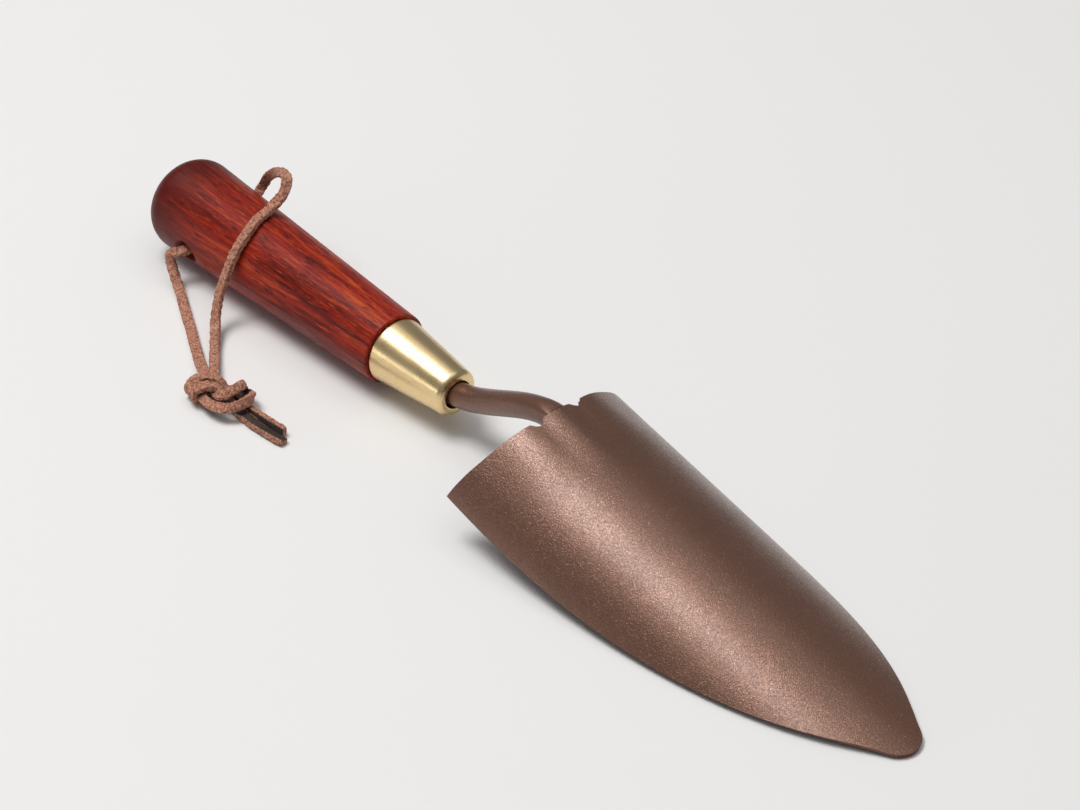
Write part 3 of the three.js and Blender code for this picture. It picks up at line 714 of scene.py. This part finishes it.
def make_strap(name, s, route, faces, seed):
    """Half of the lace, as a flat strap with rounded corners carried along its route.

    The section at turn t is (cos t, sin t) with both terms raised to a small power, which
    squares a circle off. Its width lies across the smooth face's direction. Blurred noise
    lifts the suede, and the ends close in two shrinking rings.
    """
    line = smooth_line(np.array(route, float) * MM, STATION_STEPS)
    hints = smooth_line(face_hints(route, faces), STATION_STEPS)
    both = np.concatenate([line, hints], axis=1)
    run = np.concatenate([[0], np.cumsum(np.linalg.norm(np.diff(line, axis=0), axis=1))])
    count = int(run[-1] / RING_SPACING)
    marks = np.linspace(0, run[-1], count)
    both = np.stack([np.interp(marks, run, both[:, k]) for k in range(6)], -1)
    line, hints = both[:, :3], both[:, 3:]
    ahead = directions(line)
    normal = hints - np.sum(hints * ahead, axis=1, keepdims=True) * ahead
    soft = np.hanning(2 * TWIST_BLUR + 1)
    soft /= soft.sum()
    padded = np.pad(normal, ((TWIST_BLUR, TWIST_BLUR), (0, 0)), mode="edge")
    normal = np.stack([np.convolve(padded[:, k], soft, "valid") for k in range(3)], -1)
    normal -= np.sum(normal * ahead, axis=1, keepdims=True) * ahead
    normal /= np.linalg.norm(normal, axis=1, keepdims=True)
    across = np.cross(ahead, normal)
    turn = np.linspace(0, tau, RING_POINTS + 1)
    wide = np.sign(np.cos(turn)) * np.abs(np.cos(turn)) ** SQUARENESS
    thick = np.sign(np.sin(turn)) * np.abs(np.sin(turn)) ** SQUARENESS
    smooth_face = np.clip((thick - 0.86) / 0.1, 0, 1) * np.clip((0.97 - np.abs(wide)) / 0.08, 0, 1)
    fine = blurred_noise(count, RING_POINTS, 1.0, 0.8, seed)
    coarse = blurred_noise(count, RING_POINTS, 9.0, 3.0, seed + 1)
    wobble = blurred_noise(count, 2, 28.0, 0.0, seed + 2)
    lift = s.lace_fuzz * (0.95 * fine + 0.45 * coarse)
    lift = np.concatenate([lift, lift[:, :1]], axis=1) * (1 - 0.92 * smooth_face)
    half_width = s.lace_width / 2 * (1 + 0.035 * wobble[:, :1])
    half_thickness = s.lace_thickness / 2 * (1 + 0.04 * wobble[:, 1:])
    grow = np.ones((count, 1))
    grow[0] = grow[-1] = 0.0
    grow[1] = grow[-2] = 0.86
    w = (half_width * wide + lift * wide) * grow
    h = (half_thickness * thick + lift * thick) * grow
    path = even_steps(line, PATH_SPACING)
    line[1] = line[0] + 0.1 * (line[1] - line[0])
    line[-2] = line[-1] + 0.1 * (line[-2] - line[-1])
    grid = line[:, None] + w[..., None] * across[:, None] + h[..., None] * normal[:, None]
    grid[..., 2] = np.maximum(grid[..., 2], LACE_LOWEST)
    mask = np.broadcast_to(smooth_face, (count, RING_POINTS + 1))
    strap = make_object(name, [grid], "lace", attributes={"smooth_face": mask})
    return strap, path, run[-1]


def make_lace(s, colours):
    """Both halves of the lace."""
    leather = suede_leather(colours)
    halves = [
        ("lace_near_half", NEAR_ROUTE, NEAR_FACES, -1,
         ("lace_near_leg", "lace_knot", "lace_tail_short")),
        ("lace_far_half", FAR_ROUTE, FAR_FACES, 1, ("lace_far_leg", "lace_tail_long")),
    ]
    for seed, (name, route, faces, side, nodes) in enumerate(halves):
        strap, path, run = make_strap(name, s, route, faces, 11 + 10 * seed)
        put_on(strap, leather)
        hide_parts(*nodes)


# ---------------------------------------------------------------- handle, ferrule, adhesive

TURNED_SIDES = 192
FERRULE_LIP = 0.35 * MM


def ferrule_radius(s, from_shoulder):
    """The ferrule's outer radius: a straight taper from rear to front."""
    return s.ferrule_rear + (s.ferrule_front - s.ferrule_rear) * from_shoulder / s.ferrule_length


def handle_profile(s):
    """Flat butt, elliptic dome, straight taper, rounded shoulder, spigot and blind bore."""
    spigot_gap = s.ferrule_wall + s.fit
    spigot_end = s.ferrule_socket - s.fit
    bore = s.rod_radius + 3 * s.fit
    end = s.handle_length + spigot_end
    floor = s.handle_length - s.tang_depth - s.fit
    shoulder = s.handle_length - s.shoulder_round
    dome = profile_arc((s.butt_flat, s.butt_dome),
                       (s.butt_radius - s.butt_flat, s.butt_dome), -90, 0, 30)
    rounding = profile_arc((s.shoulder_radius - s.shoulder_round, shoulder),
                           (s.shoulder_round, s.shoulder_round), 0, 90, 7)
    return (profile_line((0, 0), (s.butt_flat, 0), 6) + dome[:-1]
            + profile_line((s.butt_radius, s.butt_dome), (s.shoulder_radius, shoulder), 100)
            + rounding
            + [(ferrule_radius(s, 0) - spigot_gap, s.handle_length),
               (ferrule_radius(s, spigot_end) - spigot_gap, end), (bore, end), (bore, floor),
               (0, floor)])


def lace_hole_grid(s):
    """The lace hole's cutter: a bore across the handle, flared like a trumpet at both mouths.

    Circles of the flare's radius stand along the bore, whose line is rolled about X so that
    its near mouth lies lower. The flare's outline is a Bezier quadratic.
    """
    mouth = s.butt_radius
    flare_at = mouth - s.lace_flare
    t = np.linspace(0, 1, 25)
    radius = (1 - t) ** 2 * s.lace_hole + 2 * t * (1 - t) * s.lace_hole + t ** 2 * s.lace_mouth
    across = (1 - t) ** 2 * flare_at + 2 * t * (1 - t) * mouth + t ** 2 * mouth
    past = 1.3 * mouth  # the cutter sticks out of the handle
    r = np.concatenate([[0, s.lace_mouth], radius[::-1], radius, [s.lace_mouth, 0]])
    y = np.concatenate([[-past, -past], -across[::-1], across, [past, past]])
    turn = np.linspace(0, tau, 97)[None, :]
    centre = grip_point(s, s.lace_hole_at)
    along = y[:, None] + 0 * turn
    up = r[:, None] * np.sin(turn)
    x = centre[0] + r[:, None] * np.cos(turn)
    rolled = along * cos(s.lace_hole_roll) - up * sin(s.lace_hole_roll)
    z = centre[2] + along * sin(s.lace_hole_roll) + up * cos(s.lace_hole_roll)
    return np.stack([x, rolled, z], -1)


def make_handle(s, colours):
    """The handle, turned, bored and cross-drilled."""
    handle = make_object("wooden_handle", [turned_on_grip(s, handle_profile(s), TURNED_SIDES)], None)
    cutter = make_object("lace_hole_cutter", [lace_hole_grid(s)], None)
    cut = handle.modifiers.new("lace_hole", "BOOLEAN")
    cut.operation = "DIFFERENCE"
    cut.solver = "EXACT"
    cut.object = cutter
    bpy.context.view_layer.update()
    finished = bpy.data.meshes.new_from_object(
        handle.evaluated_get(bpy.context.evaluated_depsgraph_get()))
    handle.modifiers.clear()
    handle.data = finished
    finished.polygons.foreach_set("use_smooth", np.ones(len(finished.polygons), bool))
    finished.set_sharp_from_angle(angle=radians(40))
    bpy.data.objects.remove(cutter)
    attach(handle, "trowel")
    put_on(handle, stained_wood(s, colours))
    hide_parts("handle")


def make_ferrule(s, colours):
    """The brass ferrule: a tapered cap with a rounded nose, a socket behind and a bore."""
    rear = s.handle_length + s.fit
    nose_from = s.nose_at - s.ferrule_nose
    socket = s.handle_length + s.ferrule_socket
    bore = s.rod_radius + s.bore_gap
    lip = FERRULE_LIP
    outer = ferrule_radius(s, 0)
    inner = outer - s.ferrule_wall
    profile = (
        [(inner, rear)]
        + profile_arc((outer - lip, rear + lip), (lip, lip), -90, 0, 6)
        + profile_line((outer, rear + 2 * lip), (s.ferrule_front, nose_from), 60)
        + profile_arc((s.ferrule_front - s.ferrule_nose, nose_from),
                      (s.ferrule_nose, s.ferrule_nose), 0, 90, 16)
        + profile_arc((bore + lip, s.nose_at - lip), (lip, lip), 90, 180, 6)
        + [(bore, socket), (ferrule_radius(s, s.ferrule_socket) - s.ferrule_wall, socket),
           (inner, rear)])
    ferrule = make_object("brass_ferrule", [turned_on_grip(s, profile, TURNED_SIDES)], "trowel")
    put_on(ferrule, satin_brass(s, colours))
    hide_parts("ferrule")


def finish_adhesive(colours):
    """The adhesive sleeve keeps its own mesh and gets its finish."""
    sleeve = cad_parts["tang_adhesive"]
    put_on(sleeve, set_adhesive(colours))


# ---------------------------------------------------------------- rod, welds, blade

ROD_SPACING = 0.25 * MM
ROD_SIDES = 64
WELD_RINGS = 110
WELD_SIDES = 32
BLADE_ROWS = 230
TIP_CROWDING = 1.35  # power that packs the blade's rows towards the tip
SWEEP_FADE = 45 * MM  # ahead of the rear edge, where rows no longer follow the swept corners
NOTCH_FADE = 9 * MM  # and where they no longer follow the notches
RIM_POINTS = 9


def blade_height(s, x, y):
    """Height of the blade's outer face: a raked circular arch with a ridge over the rod.

    The arch is crown height, less rake times the way along, less the circle's drop. The
    ridge is a squared cosine both along and across. The flatter bands beside it add a
    squared sine across, which is highest halfway out, and fade along in a squared cosine.
    """
    def fade(distance, reach):
        return np.cos(np.clip(distance / reach, 0, 1) * np.pi / 2) ** 2

    from_rear = x - s.blade_x
    outward = np.abs(y)
    ridge = s.swage_height * fade(from_rear, s.swage_length) * fade(outward, s.swage_width)
    swell = np.sin(np.minimum(outward / s.flat_width, 1) * np.pi) ** 2
    flat = s.flat_height * fade(from_rear, s.flat_length) * swell
    drop = s.arch_radius - np.sqrt(s.arch_radius ** 2 - y ** 2)
    return s.crown_height - s.rake * from_rear + ridge + flat - drop


def blade_normals(s, x, y):
    """Unit normals of the outer face, from its slopes either way."""
    h = 0.05 * MM
    slope_x = (blade_height(s, x + h, y) - blade_height(s, x - h, y)) / (2 * h)
    slope_y = (blade_height(s, x, y + h) - blade_height(s, x, y - h)) / (2 * h)
    normals = np.stack([-slope_x, -slope_y, np.ones_like(x)], -1)
    return normals / np.linalg.norm(normals, axis=-1, keepdims=True)


def grip_point(s, distance):
    """A point of the handle's axis, at a distance from the butt."""
    return np.array([s.butt_x + distance * cos(s.handle_tilt), 0,
                     s.butt_z - distance * sin(s.handle_tilt)])


def under_blade(s, from_rear):
    """The rod's centre under the crown, at a distance from the rear edge."""
    x = s.blade_x + from_rear
    return np.array([x, 0, blade_height(s, x, 0.0) - s.sheet - s.fit - s.rod_radius])


def rod_line(s):
    """Straight through the handle, an S-bend up to the blade, a short run under its crown."""
    def heading(slope):
        return np.array([cos(slope), 0, sin(slope)])

    tang_end = grip_point(s, s.handle_length - s.tang_depth)
    bend = grip_point(s, s.nose_at - s.neck_inset)
    mouth = grip_point(s, s.nose_at)
    entry = np.array([s.blade_x + s.rod_entry, 0, mouth[2] + s.neck_rise])
    end = under_blade(s, s.rod_overlap)
    pull = (s.rod_overlap - s.rod_entry) / 3
    dive = heading(-s.neck_dive)
    neck = bezier([bend, bend + s.neck_rear_pull * heading(-s.handle_tilt),
                   entry - s.neck_front_pull * dive, entry], 120)
    tail = bezier([entry, entry + pull * dive, end - pull * heading(-atan(s.rake)), end], 60)
    line = np.concatenate([[tang_end], neck, tail[1:]])
    return even_steps(line, 0.5 * MM)


def bar_grid(line, radius, sides):
    """A round bar along a line in the XZ plane, its ends closed in three shrinking rings."""
    ahead = directions(line)
    across = np.array([0.0, 1.0, 0.0])
    up = np.cross(ahead, across)
    grow = radius * np.ones(len(line))
    chamfer = 0.08 * grow[0]
    line = np.pad(line, ((2, 2), (0, 0)), mode="edge")
    up = np.pad(up, ((2, 2), (0, 0)), mode="edge")
    grow = np.concatenate([[0, grow[0] - chamfer], grow, [grow[-1] - chamfer, 0]])
    line[2] += chamfer * ahead[0]
    line[-3] -= chamfer * ahead[-1]
    turn = np.linspace(0, tau, sides + 1)[None, :, None]
    ring = np.cos(turn) * across + np.sin(turn) * up[:, None]
    return line[:, None] + grow[:, None, None] * ring


def make_rod(s, colours):
    """The steel rod, its top swelling up to the blade's tongue and ground down under the sheet.

    Behind the rear edge the upper half rises towards the tongue's height, by a smooth step
    along times a power of the sine around, so coat and tongue run on from the rod. Under
    the sheet the height is the lesser of the bar's and the sheet's inner face.
    """
    line = even_steps(rod_line(s), ROD_SPACING)
    grid = bar_grid(line, s.rod_radius, ROD_SIDES)
    x, y, z = np.moveaxis(grid, -1, 0)
    joint = s.blade_x + s.edge_round
    height = np.pad(line[:, 2], 2, mode="edge")[:, None]
    around = np.clip((z - height) / s.rod_radius, 0, 1) ** 0.6
    along = np.clip((x - joint) / s.rod_swell + 1, 0, 1)
    tongue = blade_height(s, np.full_like(x, joint), y)
    lift = along ** 2 * (3 - 2 * along) * around * np.clip(tongue - z, 0, None)
    seat = blade_height(s, x, y) - s.sheet
    grid[..., 2] = np.where(x > joint, np.minimum(z, seat), z + lift)
    rod = make_object("steel_rod", [grid], "trowel")
    put_on(rod, baked_coat("Smooth coat", colours, 1500.0, 0.006 * MM, 0.36, 0.02))
    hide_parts("tang_rod")


def make_welds(s, colours):
    """Weld beads along both corners between rod and blade, rippled by the welder's hand."""
    coat = baked_coat("Weld coat", colours, 1500.0, 0.04 * MM, 0.45, 0.25)
    stations = np.linspace(s.weld_start, s.weld_start + s.weld_length, WELD_RINGS)
    for name, side, node in (("weld_ripple_near", -1, "weld_bead_near"),
                             ("weld_ripple_far", 1, "weld_bead_far")):
        line = np.array([under_blade(s, at) for at in stations])
        line[:, 2] += s.rod_radius - s.weld_radius
        ripple = np.abs(np.sin(np.pi * stations / s.weld_pitch)) ** 0.6
        ends = np.sin(np.pi * np.linspace(0.04, 0.96, len(stations))) ** 0.25
        grid = bar_grid(line, s.weld_radius * ends * (0.9 + 0.14 * ripple), WELD_SIDES)
        grid[..., 1] += side * (s.rod_radius + s.weld_radius / 4)
        bead = make_object(name, [grid], "trowel")
        put_on(bead, coat)
        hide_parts(node)


def blade_half_width(s, x):
    """Half width of the blade seen from above: a Bezier side that runs into the tip's arc."""
    corner = np.array([s.blade_x - s.corner_sweep, s.blade_half_width])
    centre = s.tip_x - s.tip_radius
    join = np.array([centre + s.tip_radius * cos(s.tip_arc), s.tip_radius * sin(s.tip_arc)])
    side = bezier([
        corner, corner + s.side_pull * np.array([cos(s.side_flare), sin(s.side_flare)]),
        join + s.tip_pull * np.array([-sin(s.tip_arc), cos(s.tip_arc)]), join], 400)
    turn = np.linspace(s.tip_arc, 0, 200)[1:]
    tip = np.stack([centre + s.tip_radius * np.cos(turn), s.tip_radius * np.sin(turn)], -1)
    outline = np.concatenate([side, tip])
    inset = s.edge_round * np.clip(outline[:, 1] / (3 * MM), 0, 1)
    return np.interp(x, outline[:, 0] - s.edge_round, outline[:, 1] - inset)


def blade_columns(s):
    """Places across the rear edge, from -1 to 1, packed closely around both notches."""
    half = s.notch_width / 2 + s.edge_round
    low = (s.notch_centre - half) / s.blade_half_width
    high = (s.notch_centre + half) / s.blade_half_width
    side = np.concatenate([
        np.linspace(0, low, 14)[:-1], np.linspace(low, high, 32)[:-1], np.linspace(high, 1, 52)])
    return np.concatenate([-side[:0:-1], side])


def make_blade(s, colours):
    """The blade: outer face, inner face one sheet below it along the normals, and a rim.

    Rows run from the rear edge to the tip, where they close in a point, and columns are
    shares of the half width. The rim bulges between the faces in half an ellipse.
    """
    columns = blade_columns(s)[None, :]
    share = np.linspace(0, 1, BLADE_ROWS)[:, None]
    rows = s.blade_x + (s.blade_length - s.edge_round) * (1 - (1 - share) ** TIP_CROWDING)
    rows = rows + s.edge_round * (1 - share)
    sweep = np.clip(1 - (rows - s.blade_x) / SWEEP_FADE, 0, 1) ** 1.5
    x = rows - s.corner_sweep * columns ** 2 * sweep
    y_rear = columns * s.blade_half_width
    half = s.notch_width / 2 + s.edge_round
    aside = np.clip(np.abs(np.abs(y_rear) - s.notch_centre) / half, 0, 1)
    pushed = (s.blade_x + s.notch_depth - x[:1]) * np.cos(aside * np.pi / 2) ** 1.2
    x = x + pushed * np.clip(1 - (rows - s.blade_x) / NOTCH_FADE, 0, 1) ** 2
    y = columns * blade_half_width(s, x)
    y[-1] = 0
    normals = blade_normals(s, x, y)
    outer = np.stack([x, y, blade_height(s, x, y)], -1)
    inner = outer - s.sheet * normals

    def border(grid):
        return np.concatenate([grid[0], grid[1:, -1], grid[-2:0:-1, 0], grid[0, :1]])

    edge, under, up = border(outer), border(inner), border(normals)
    middle = 0.5 * (edge + under)
    ahead = np.roll(middle[:-1], -1, 0) - np.roll(middle[:-1], 1, 0)
    ahead = np.concatenate([ahead, ahead[:1]])
    out = np.cross(ahead, up)
    out /= np.linalg.norm(out, axis=1, keepdims=True)
    turn = np.linspace(0, np.pi, RIM_POINTS)[:, None, None]
    rim = middle + 0.5 * s.sheet * np.cos(turn) * up + s.edge_round * np.sin(turn) * out
    blade = make_object("trowel_blade", [outer, inner, rim], "trowel")
    coat = baked_coat("Textured coat", colours, 1400.0, 0.08 * MM, 0.30, 0.05)
    put_on(blade, coat)
    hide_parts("blade")


# ---------------------------------------------------------------- operators and panel

class TROWEL_OT_stage(bpy.types.Operator):
    """Adds the camera, the bench and the studio lights"""

    bl_idname = "trowel.stage"
    bl_label = "Stage"
    bl_options = {"REGISTER", "UNDO"}

    def execute(self, context):
        make_stage(context.scene.trowel_colours)
        return {"FINISHED"}


class TROWEL_OT_lace(bpy.types.Operator):
    """Adds the two halves of the knotted leather lace"""

    bl_idname = "trowel.lace"
    bl_label = "Lace"
    bl_options = {"REGISTER", "UNDO"}

    def execute(self, context):
        make_lace(layout(), context.scene.trowel_colours)
        return {"FINISHED"}


class TROWEL_OT_handle(bpy.types.Operator):
    """Adds the turned wooden handle"""

    bl_idname = "trowel.handle"
    bl_label = "Handle"
    bl_options = {"REGISTER", "UNDO"}

    def execute(self, context):
        make_handle(layout(), context.scene.trowel_colours)
        return {"FINISHED"}


class TROWEL_OT_ferrule(bpy.types.Operator):
    """Adds the brass ferrule"""

    bl_idname = "trowel.ferrule"
    bl_label = "Ferrule"
    bl_options = {"REGISTER", "UNDO"}

    def execute(self, context):
        make_ferrule(layout(), context.scene.trowel_colours)
        return {"FINISHED"}


class TROWEL_OT_adhesive(bpy.types.Operator):
    """Finishes the adhesive around the tang"""

    bl_idname = "trowel.adhesive"
    bl_label = "Adhesive"
    bl_options = {"REGISTER", "UNDO"}

    def execute(self, context):
        finish_adhesive(context.scene.trowel_colours)
        return {"FINISHED"}


class TROWEL_OT_rod(bpy.types.Operator):
    """Adds the cranked steel rod"""

    bl_idname = "trowel.rod"
    bl_label = "Rod"
    bl_options = {"REGISTER", "UNDO"}

    def execute(self, context):
        make_rod(layout(), context.scene.trowel_colours)
        return {"FINISHED"}


class TROWEL_OT_welds(bpy.types.Operator):
    """Adds the weld beads between rod and blade"""

    bl_idname = "trowel.welds"
    bl_label = "Weld beads"
    bl_options = {"REGISTER", "UNDO"}

    def execute(self, context):
        make_welds(layout(), context.scene.trowel_colours)
        return {"FINISHED"}


class TROWEL_OT_blade(bpy.types.Operator):
    """Adds the arched steel blade"""

    bl_idname = "trowel.blade"
    bl_label = "Blade"
    bl_options = {"REGISTER", "UNDO"}

    def execute(self, context):
        make_blade(layout(), context.scene.trowel_colours)
        return {"FINISHED"}


OPERATORS = (TROWEL_OT_stage, TROWEL_OT_lace, TROWEL_OT_handle, TROWEL_OT_ferrule,
             TROWEL_OT_adhesive, TROWEL_OT_rod, TROWEL_OT_welds, TROWEL_OT_blade)


class TROWEL_PT_panel(bpy.types.Panel):
    """Lists the trowel's operators, sizes and colours"""

    bl_idname = "TROWEL_PT_panel"
    bl_label = "Hand Trowel"
    bl_space_type = "VIEW_3D"
    bl_region_type = "UI"
    bl_category = "Trowel"

    def draw(self, context):
        for operator in OPERATORS:
            self.layout.operator(operator.bl_idname)
        for settings in (context.scene.trowel_sizes, context.scene.trowel_colours):
            for key in settings.__annotations__:
                self.layout.prop(settings, key)


CLASSES = (TrowelSizes, TrowelColours, *OPERATORS, TROWEL_PT_panel)


def register():
    """Registers the classes and hangs the settings on the scene."""
    for cls in CLASSES:
        bpy.utils.register_class(cls)
    bpy.types.Scene.trowel_sizes = bpy.props.PointerProperty(type=TrowelSizes)
    bpy.types.Scene.trowel_colours = bpy.props.PointerProperty(type=TrowelColours)


def unregister():
    """Takes the settings and the classes away again."""
    del bpy.types.Scene.trowel_colours
    del bpy.types.Scene.trowel_sizes
    for cls in reversed(CLASSES):
        bpy.utils.unregister_class(cls)


def main():
    """Makes the whole trowel."""
    register()
    for operator in OPERATORS:
        group, name = operator.bl_idname.split(".")
        getattr(getattr(bpy.ops, group), name)()
    bpy.context.view_layer.update()


if __name__ == "__main__":
    main()
